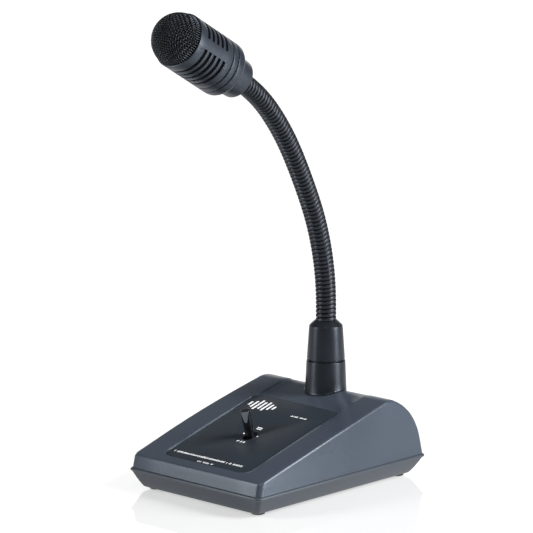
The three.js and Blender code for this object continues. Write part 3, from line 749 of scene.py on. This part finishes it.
def dish_depth(x, y):
    """How deep the dish is at a point, by way of the outline that runs through it."""
    t = 0.5
    for _ in range(20):
        half_width, half_length = dish_outline(t)
        reach = math.hypot(x, max(0.0, abs(y) - (half_length - half_width)))
        t += 0.6 * ((reach - SLOT_SHAPE[0]) / (DISH_SHAPE[0] - SLOT_SHAPE[0]) - t)
    return dish_curve(clamp(t))


def build_bezel():
    """The oblong dish round the lever: a thick flange with a collar below the slot."""
    steps = 14
    collar, collar_foot, flange_foot = grown(SLOT_SHAPE, 1.3), -6, -3.2
    rings = []
    for step in range(steps + 1):
        t = 1 - step / steps
        rings.append([(x, y, -0.01 - dish_curve(t)) for x, y in stadium(*dish_outline(t))])
    rings.append([(x, y, collar_foot) for x, y in stadium(*SLOT_SHAPE)])
    rings.append([(x, y, collar_foot) for x, y in collar])
    rings.append([(x, y, flange_foot) for x, y in collar])
    rings.append([(x, y, flange_foot) for x, y in stadium(*DISH_SHAPE)])
    dish = loft("switch_dish", rings, DISH_FRAME, closed=True)
    return place_piece(dish, "base", LABEL, "label", "switch_bezel")


def build_lever():
    """A round lever whose tip is cut to a slanted flat; a light grey skin on the flat is a painted reflection of
    the light that it catches.
    """
    radius, tip = LEVER_RADIUS, LEVER_TOP + LEVER_PIVOT
    flat_length, slant, turn = 9.0, math.radians(9), math.radians(29)
    profile = fillet([
        (0, -6, 0), (2.2, -6, 0.6), (2.6, -2, 0), (radius, 3, 0), (radius, tip, 0.5), (0, tip, 0),
    ])
    place = SWITCH_FRAME @ Matrix.Translation((0, 0, -LEVER_PIVOT))
    lever = lathe("talk_lever", profile, 64, place=place)
    flat = place @ Matrix.Rotation(turn, 4, "Z")
    flat = flat @ Matrix.Translation((0, -radius, tip - flat_length))
    flat = flat @ Matrix.Rotation(-slant, 4, "X")
    cutter = prism("cutter", [(-10, -10), (10, -10), (10, 0), (-10, 0)], 0, 30, flat)
    cut(lever, [cutter])
    tidy(lever)
    bevel(lever, 0.15, 3, 30)
    shade(lever, 40)
    place_piece(lever, "switch_lever", BLACK, "black_plastic", "switch_lever")
    # A thin light grey skin over the flat: a painted reflection of the light that the black flat catches.
    side = []
    steps = 18
    for step in range(1, steps + 1):
        along = (flat_length / math.cos(slant) - 0.6) * step / steps
        depth = along * math.sin(slant)
        side.append((math.sqrt(2 * radius * depth - depth * depth) - 0.12, along))
    outline = side + [(-x, along) for x, along in reversed(side)]
    face = flat @ Matrix.Rotation(math.radians(90), 4, "X")
    sheen_skin = prism("talk_lever_flat_sheen", outline, -0.02, 0.02, face)
    return place_piece(sheen_skin, "switch_lever", LEVER_FLAT_SHEEN, "black_plastic")


# ---- Print ----


def mark(name, outlines, place, in_dish=False):
    """Printed shapes joined in one thin piece that lies on the label or in the dish."""
    points, faces = [], []
    for outline in outlines:
        start = len(points)
        for level in (-0.02, 0.08):
            points += [(x, y, level - (dish_depth(x, y) if in_dish else 0)) for x, y in outline]
        faces += [[start + v for v in face] for face in ring_faces(2, len(outline))]
    obj = mesh_object(name, points, faces, place)
    return place_piece(obj, "base", PRINT, "label")


def bar(x, y, width, height, slant=0.0):
    return [(x, y), (x + width, y), (x + width + slant, y + height), (x + slant, y + height)]


def dashes(start, end, y, height, seed):
    """A line of small upright strokes of differing widths: print that reads as nothing."""
    draw = np.random.default_rng(seed)
    strokes = []
    x = start
    while x < end:
        width = 0.25 + 0.35 * draw.random()
        strokes.append(bar(x, y, width, height * (0.75 + 0.25 * draw.random()), 0.25))
        word_gap = 1.7 if draw.random() < 0.17 else 0
        x += width + 0.6 + word_gap
    return strokes


def build_marks():
    """A row of bars, three lines of strokes, and the signs round the lever."""
    meter_start, meter_pitch, meter_middle = -36.5, 3.9, 97
    meter = []
    for i, height in enumerate([5, 9.5, 14, 10.5, 12.5, 8, 4.5]):
        x = meter_start + meter_pitch * i
        meter.append(bar(x, meter_middle - height / 2, 1.6, height))
    mark("print_level_marks", meter, LABEL_FRAME)
    mark("print_line_rear", dashes(9.2, 24.6, 91.2, 1.8, 3), LABEL_FRAME)
    mark("print_line_front", dashes(-37.3, 31.2, 16.2, 2.1, 1), LABEL_FRAME)
    mark("print_line_short", dashes(-9, 6.4, 10.3, 1.6, 2), LABEL_FRAME)
    talk = [bar(x, y, 1.0, 0.8) for x in (-3.6, -0.6, 2.4) for y in (-11.0, -10.2, -9.4)]
    rear = [bar(x, y, 1.5, 0.8) for x in (-3.2, -1.6, 0.0) for y in (9.8, 11.5)]
    mark("print_switch_marks", talk + rear, DISH_FRAME, in_dish=True)
    dots = [circle(0.7, 16, side * 6.6 - 0.4, 0.9) for side in (-1, 1)]
    mark("print_switch_dots", dots, DISH_FRAME, in_dish=True)


# ---- Collars ----


def band_floor(y):
    """Height of the recessed band's surface."""
    line = [p for p in side_profile() if p.y > 30]
    for a, b in zip(line, line[1:]):
        if a.x <= y <= b.x:
            rise = recess(a)[1]
            return a.y + (b.y - a.y) * (y - a.x) / (b.x - a.x) + rise
    raise ValueError("no cover surface there")


def build_lower_collar():
    """A tapered sleeve whose foot follows the cover, with a small fillet where they meet."""
    shoulder, top = COLLAR_SPLIT - 0.9, COLLAR_SPLIT - 0.1
    upper = fillet([
        (14.9, 68, 0), (14.25, shoulder, 0.8), (12.5, shoulder, 0), (12.5, top, 0),
        (COLLAR_BORE, top, 0), (COLLAR_BORE, 45, 0),
    ])
    segments = 128
    foot = [
        (COLLAR_BORE, -2.0), (16.4, -0.25), (16.4, 0.0), (15.9, 0.22), (15.5, 0.62), (15.25, 1.3),
    ]
    rings = []
    for radius, above in foot:
        outline = circle(radius, segments)
        rings.append([(x, y, band_floor(NECK_Y + y) + above) for x, y in outline])
    for radius, height in upper[:-1]:
        rings.append([(x, y, height) for x, y in circle(radius, segments)])
    collar = loft("lower_collar_sleeve", rings, COLLAR_FRAME, closed=True)
    return place_piece(collar, "base", COLLAR_PAINT, "painted_metal", "lower_collar")


def build_upper_collar():
    mouth, mouth_floor = NECK_RADIUS + 0.35, COLLAR_TOP - 11.5
    profile = closed_profile([
        (COLLAR_BORE, COLLAR_SPLIT, SHARP), (14.0, COLLAR_SPLIT, 0.5), (12.4, 106.3, 0),
        (12.1, 108.3, 0.4), (8.1, COLLAR_TOP, 0.4), (mouth, COLLAR_TOP, SHARP),
        (mouth, mouth_floor, SHARP), (COLLAR_BORE, mouth_floor, SHARP),
    ])
    collar = lathe("upper_collar_sleeve", profile, 128, True, COLLAR_FRAME, 28)
    return place_piece(collar, "base", COLLAR_PAINT, "painted_metal", "upper_collar")


# ---- Neck ----


def neck_ring(distance, radius_at, segments):
    y, z, lean = neck_at(distance)
    ring = []
    for angle in spread(0, 2 * math.pi, segments):
        radius = radius_at(distance, angle)
        side = radius * math.sin(angle)
        ring.append((radius * math.cos(angle), y + side * math.cos(lean), z + side * math.sin(lean)))
    return ring


def rib_radius(distance, angle):
    """The wound strip's outer shape: a broad rounded rib and a narrow groove, one turn a pitch."""
    phase = (distance / RIB_PITCH - angle / (2 * math.pi)) % 1.0
    from_groove = min(phase, 1 - phase) * 2
    groove = math.exp(-((from_groove / 0.25) ** 2))
    return NECK_RADIUS + 0.32 - 0.85 * groove + 0.1 * math.sin(math.pi * phase)


def even(radius):
    """The same radius all along and all round."""
    return lambda distance, angle: radius


def neck_tube(name, start, end, radius_at, bore, step, bore_step, segments):
    """A closed tube with a bore, from start to end along the neck."""
    count = max(2, round((end - start) / step))
    outer = [neck_ring(d, radius_at, segments) for d in spread(start, end, count) + [end]]
    bore_count = max(2, round((end - start) / bore_step))
    back = spread(end, start, bore_count) + [start]
    inner = [neck_ring(d, even(bore), segments) for d in back]
    return loft(name, outer + inner, closed=True, sharp=50)


def hinge_stations(joints):
    """How far along the neck each hinge is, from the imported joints' places."""
    samples = [i * 0.1 for i in range(int(NECK_LENGTH * 10) + 1)]
    line = [neck_at(s)[:2] for s in samples]
    stations = []
    for joint in joints:
        y, z = joint["pos_m"][1] / MM, joint["pos_m"][2] / MM
        gaps = [math.hypot(y - a, z - b) for a, b in line]
        stations.append(samples[gaps.index(min(gaps))])
    return stations


def neck_point(distance):
    y, z, _ = neck_at(distance)
    return (0, y * MM, z * MM)


def build_neck():
    """The wound tube and the lead inside it, in one length for each hinge."""
    joints = [j for j in frame["joints"] if j["name"].startswith("neck")]
    stations = hinge_stations(joints)
    half = (stations[1] - stations[0]) / 2
    bounds_along = [-8.0] + [s + half for s in stations[:-1]] + [NECK_LENGTH + 6]
    lead_below, lead_beyond = 66, 16
    coil_grid = {"step": RIB_PITCH / 12, "bore_step": 3.0, "segments": 56}
    lead_grid = {"step": 2.5, "bore_step": 5.0, "segments": 16}
    for i, (joint, station) in enumerate(zip(joints, stations)):
        start, end = bounds_along[i], bounds_along[i + 1]
        ends = {"start": neck_point(station - half), "end": neck_point(station + half)}
        name = f"neck_coil_{i + 1}"
        coil = neck_tube(name, start, end, rib_radius, NECK_BORE, **coil_grid)
        nodes = [f"neck_link_{i}"] + ([f"neck_link_{i + 1}"] if i == len(joints) - 1 else [])
        place_piece(coil, None, COIL, "neck_metal", *nodes)
        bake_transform(coil)
        lead_start = start - (lead_below if i == 0 else 0)
        lead_end = end + (lead_beyond if i == len(joints) - 1 else 0)
        name = f"neck_lead_{i + 1}"
        lead = neck_tube(name, lead_start, lead_end, even(LEAD_RADIUS), LEAD_CORE, **lead_grid)
        place_piece(lead, None, RUBBER, "rubber", *(["neck_cable"] if i == 0 else []))
        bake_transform(lead)


# ---- Head ----


def turned(name, corners, node):
    """A painted turned part of the head, from the corners of its section."""
    obj = lathe(name, closed_profile(corners), 128, True, HEAD_FRAME)
    return place_piece(obj, "head", PAINT, "painted_metal", node)


def build_head_turnings():
    groove = 0.35                  # left open between one part and the next
    boot_end = HEAD_BOOT - groove
    turned("neck_boot_shell", [
        (BOOT_BORE, 0, SHARP), (14.2, 0, 0.9), (15.05, boot_end, 0.4), (BOOT_BORE, boot_end, SHARP),
    ], "neck_boot")
    cap_radius, cap_floor = HEAD_RADIUS - 0.05, HEAD_BOOT + 3
    sleeve, sleeve_bore, sleeve_end = 17.3, 16, 34
    turned("rear_cap_shell", [
        (BOOT_BORE, HEAD_BOOT, SHARP), (cap_radius, HEAD_BOOT, 3.8), (cap_radius, HEAD_CAP, 0.5),
        (sleeve, HEAD_CAP, SHARP), (sleeve, sleeve_end, SHARP), (sleeve_bore, sleeve_end, SHARP),
        (sleeve_bore, cap_floor, SHARP), (BOOT_BORE, cap_floor, SHARP),
    ], "rear_cap")
    ring_bore, ring_start, ring_end = sleeve + 0.3, HEAD_CAP + 0.75, HEAD_RING - groove
    turned("trim_ring_band", [
        (ring_bore, ring_start, SHARP), (HEAD_RADIUS, ring_start, 0.5),
        (HEAD_RADIUS, ring_end, 0.5), (ring_bore, ring_end, SHARP),
    ], "trim_ring")


def build_head_body():
    """The slotted barrel. Its points lie on a grid of angles and heights, drawn in next to
    the slots and at both ends to round every edge. Each slot is a run of missing cells."""
    spans = [
        (LAND_RISE + LAND_HALF, math.pi - LAND_RISE - LAND_HALF),
        (math.pi - LAND_RISE + LAND_HALF, 2 * math.pi + LAND_RISE - LAND_HALF),
    ]
    rounding = [(0.0, 0.5), (0.12, 0.22), (0.3, 0.06), (0.6, 0.0)]    # (from the edge, drawn in)
    heights = [(HEAD_RING + 0.35 + s, d) for s, d in rounding]
    open_rows = []
    for i in reversed(range(SLOT_COUNT)):
        middle = HEAD_RIM - SLOT_FIRST - SLOT_PITCH * i
        heights += [(middle - SLOT_HALF - s, d) for s, d in reversed(rounding)]
        open_rows.append(len(heights) - 1)
        heights += [(middle + SLOT_HALF + s, d) for s, d in rounding]
    heights += [(HEAD_RIM - s, d) for s, d in reversed(rounding)]

    angles = []
    open_columns = set()
    arc = [s / HEAD_RADIUS for s, _ in rounding]
    for index, (start, end) in enumerate(spans):
        following = spans[(index + 1) % 2][0] + (2 * math.pi if index else 0)
        first = len(angles)
        angles += spread(start, end, 64)
        open_columns |= set(range(first, len(angles)))
        angles += [end + a for a in arc]
        angles += spread(end + arc[-1], following - arc[-1], 12)[1:]
        angles += [following - a for a in arc[:0:-1]]

    count = len(angles)
    rows = len(heights)
    is_open = {(r, c) for r in open_rows for c in open_columns}

    def radius_at(r, c):
        """Drawn in at the ends, and near a slot only where the slot runs."""
        at_end = r < len(rounding) or r >= rows - len(rounding)
        along_slot = c in open_columns or (c - 1) % count in open_columns
        return HEAD_RADIUS - (heights[r][1] if at_end or along_slot else 0.0)

    points = []
    for r in range(rows):
        for c, angle in enumerate(angles):
            radius = radius_at(r, c)
            points.append((radius * math.cos(angle), radius * math.sin(angle), heights[r][0]))
    shift = len(points)
    for height, _ in heights:
        points += [(HEAD_BORE * math.cos(a), HEAD_BORE * math.sin(a), height) for a in angles]

    def corner(r, c):
        return r * count + c % count

    faces = []
    for r in range(rows - 1):
        for c in range(count):
            quad = [corner(r, c), corner(r, c + 1), corner(r + 1, c + 1), corner(r + 1, c)]
            if (r, c) not in is_open:
                faces.append(quad)
                faces.append([shift + v for v in reversed(quad)])
                continue
            for a, b, neighbour in (
                (quad[0], quad[1], (r - 1, c)), (quad[1], quad[2], (r, (c + 1) % count)),
                (quad[2], quad[3], (r + 1, c)), (quad[3], quad[0], (r, (c - 1) % count)),
            ):
                if neighbour not in is_open:
                    faces.append([a, b, shift + b, shift + a])
    for c in range(count):
        for r in (0, rows - 1):
            a, b = corner(r, c), corner(r, c + 1)
            faces.append([a, b, shift + b, shift + a])
    body = mesh_object("head_body_barrel", points, faces, HEAD_FRAME, 30)
    return place_piece(body, "head", PAINT, "painted_metal", "head_body")


def build_slot_cloth():
    """Black cloth against the inside of the barrel, so that nothing shows through the slots."""
    low, high = HEAD_RING + 1.2, HEAD_RIM - 1.6
    inside, outside = HEAD_BORE - 0.08, HEAD_BORE - 0.01
    lining = [(inside, low), (outside, low), (outside, high), (inside, high)]
    cloth = lathe("slot_cloth", lining, 96, True, HEAD_FRAME)
    return place_piece(cloth, "head", CLOTH, "foam")


def unit(vectors):
    return vectors / np.linalg.norm(vectors, axis=1)[:, None]


def wire_tube(path, radius, sides=6):
    """Points and faces of a thin closed tube along a path of points."""
    points = []
    path = np.array(path)
    ahead = unit(np.gradient(path, axis=0))
    out = unit(path - np.array([0, 0, HEAD_RIM]))
    side = unit(np.cross(ahead, out))
    normal = np.cross(side, ahead)
    for centre, s, n in zip(path, side, normal):
        for angle in spread(0, 2 * math.pi, sides):
            points.append(centre + radius * (math.cos(angle) * s + math.sin(angle) * n))
    return points, ring_faces(len(path), sides)


def build_grille():
    """Woven wire pressed into a dome: two sets of wires along the sphere's lines of latitude
    about two level axes, each passing over and under the other."""
    pitch = 1.75
    wire_radius = 0.31
    radius = DOME_RADIUS - 0.55
    lift = 0.26
    step = pitch / radius
    count = int(math.pi / 2 / step)
    points, faces = [], []
    for family in (0, 1):
        for i in range(-count, count + 1):
            level = i * step
            ring = radius * math.cos(level)
            offset = radius * math.sin(level)
            if ring < 1.5:
                continue
            samples = max(8, int(ring * math.pi / pitch * 5))
            path = []
            for k in range(samples + 1):
                turn = math.pi * k / samples
                across, up = ring * math.cos(turn), ring * math.sin(turn)
                other = math.asin(max(-1.0, min(1.0, across / radius))) / step
                over = lift * math.cos(math.pi * (other + i)) * (1 if family == 0 else -1)
                spot = (offset, across, up) if family == 0 else (across, offset, up)
                scale = (radius + over) / radius
                path.append((spot[0] * scale, spot[1] * scale, HEAD_RIM + spot[2] * scale - 0.6))
            more_points, more_faces = wire_tube(path, wire_radius)
            start = len(points)
            points += more_points
            faces += [[start + v for v in face] for face in more_faces]
    weave = mesh_object("grille_weave", points, faces, HEAD_FRAME, 60)
    return place_piece(weave, "head", WIRE, "grille_mesh", "grille")


def build_grille_rim():
    inner, outer = DOME_RADIUS - 1.3, DOME_RADIUS + 0.1
    bottom, top = HEAD_RIM - 1.4, HEAD_RIM + 0.1
    profile = closed_profile([
        (inner, bottom, SHARP), (outer, bottom, SHARP), (outer, top, 0.3), (inner, top, 0.3),
    ])
    rim = lathe("grille_rim_ring", profile, 128, True, HEAD_FRAME)
    return place_piece(rim, "head", WIRE, "grille_mesh", "grille_rim")


def build_foam():
    """The foam dome that lines the grille."""
    outside, inside = DOME_RADIUS - 1.7, DOME_RADIUS - 4
    rise = spread(0, math.pi / 2, 20)
    outer_arc = [(outside * math.cos(a), HEAD_RIM + outside * math.sin(a)) for a in rise]
    inner_arc = [(inside * math.cos(a), HEAD_RIM + inside * math.sin(a)) for a in rise]
    profile = [(0, HEAD_RIM + outside)] + outer_arc[::-1] + inner_arc + [(0, HEAD_RIM + inside)]
    foam = lathe("foam_dome", profile, 72, place=HEAD_FRAME)
    return place_piece(foam, "head", FOAM, "foam", "foam_liner")


# ---- Studio ----


def softbox(name, azimuth, elevation, distance, width, height, power, target=(0, 0, 0.12)):
    """An area light at a bearing round the object. Azimuth 0 is in front, 90 to its right."""
    a, e = math.radians(azimuth), math.radians(elevation)
    toward = Vector((math.sin(a) * math.cos(e), -math.cos(a) * math.cos(e), math.sin(e)))
    data = bpy.data.lights.new(name, "AREA")
    data.shape = "RECTANGLE"
    data.size, data.size_y = width, height
    data.energy = power
    light = bpy.data.objects.new(name, data)
    light.location = Vector(target) + toward * distance
    light.rotation_euler = (-toward).to_track_quat("-Z", "Y").to_euler()
    bpy.context.scene.collection.objects.link(light)


def build_studio():
    softbox("right_softbox", 116, 24, 1.6, 0.5, 1.4, 55)
    softbox("left_softbox", -34, 22, 1.9, 0.45, 1.5, 30)
    softbox("top_softbox", 43, 62, 1.8, 0.3, 0.3, 3.5)
    softbox("far_wall", 223.3, 8.5, 8.5, 9.0, 2.5, 70)
    world = bpy.data.worlds.new("studio")
    bpy.context.scene.world = world
    world.use_nodes = True
    white = (1, 1, 1, 1)
    background = world.node_tree.nodes["Background"]
    background.inputs["Color"].default_value = white
    background.inputs["Strength"].default_value = 0.14
    mesh = bpy.data.meshes.new("floor")
    reach = 12.0
    corners = [(-reach, -reach, 0), (reach, -reach, 0), (reach, reach, 0), (-reach, reach, 0)]
    mesh.from_pydata(corners, [], [[0, 1, 2, 3]])
    floor = bpy.data.objects.new("floor", mesh)
    shader = Shader("floor_white", (0.4, 0.4, 0.4), 0.04, emission_color=white, emission_strength=0.5)
    mesh.materials.append(shader.material)
    bpy.context.scene.collection.objects.link(floor)
    view = bpy.context.scene.view_settings
    view.view_transform = "Standard"


def build_camera():
    """A long lens from the front right, a little above the object."""
    data = bpy.data.cameras.new("camera")
    data.lens = 236.46
    data.shift_x = -0.02255
    data.shift_y = 0.02293
    camera = bpy.data.objects.new("camera", data)
    azimuth, elevation = math.radians(43.30), math.radians(11.49)
    level = Vector((math.sin(azimuth), -math.cos(azimuth), 0))
    back = level * math.cos(elevation) + Vector((0, 0, math.sin(elevation)))
    target = Vector((0, MID_Y * MM, 0.15))
    distance = 2.512
    camera.location = target + back * distance
    camera.rotation_euler = (-back).to_track_quat("-Z", "Y").to_euler()
    bpy.context.scene.collection.objects.link(camera)
    bpy.context.scene.camera = camera


build_camera()
dress_cad_nodes()
build_cover()
build_tray()
build_feet()
build_label()
build_bezel()
build_lever()
build_marks()
build_lower_collar()
build_upper_collar()
build_neck()
build_head_turnings()
build_head_body()
build_slot_cloth()
build_grille()
build_grille_rim()
build_foam()
build_studio()
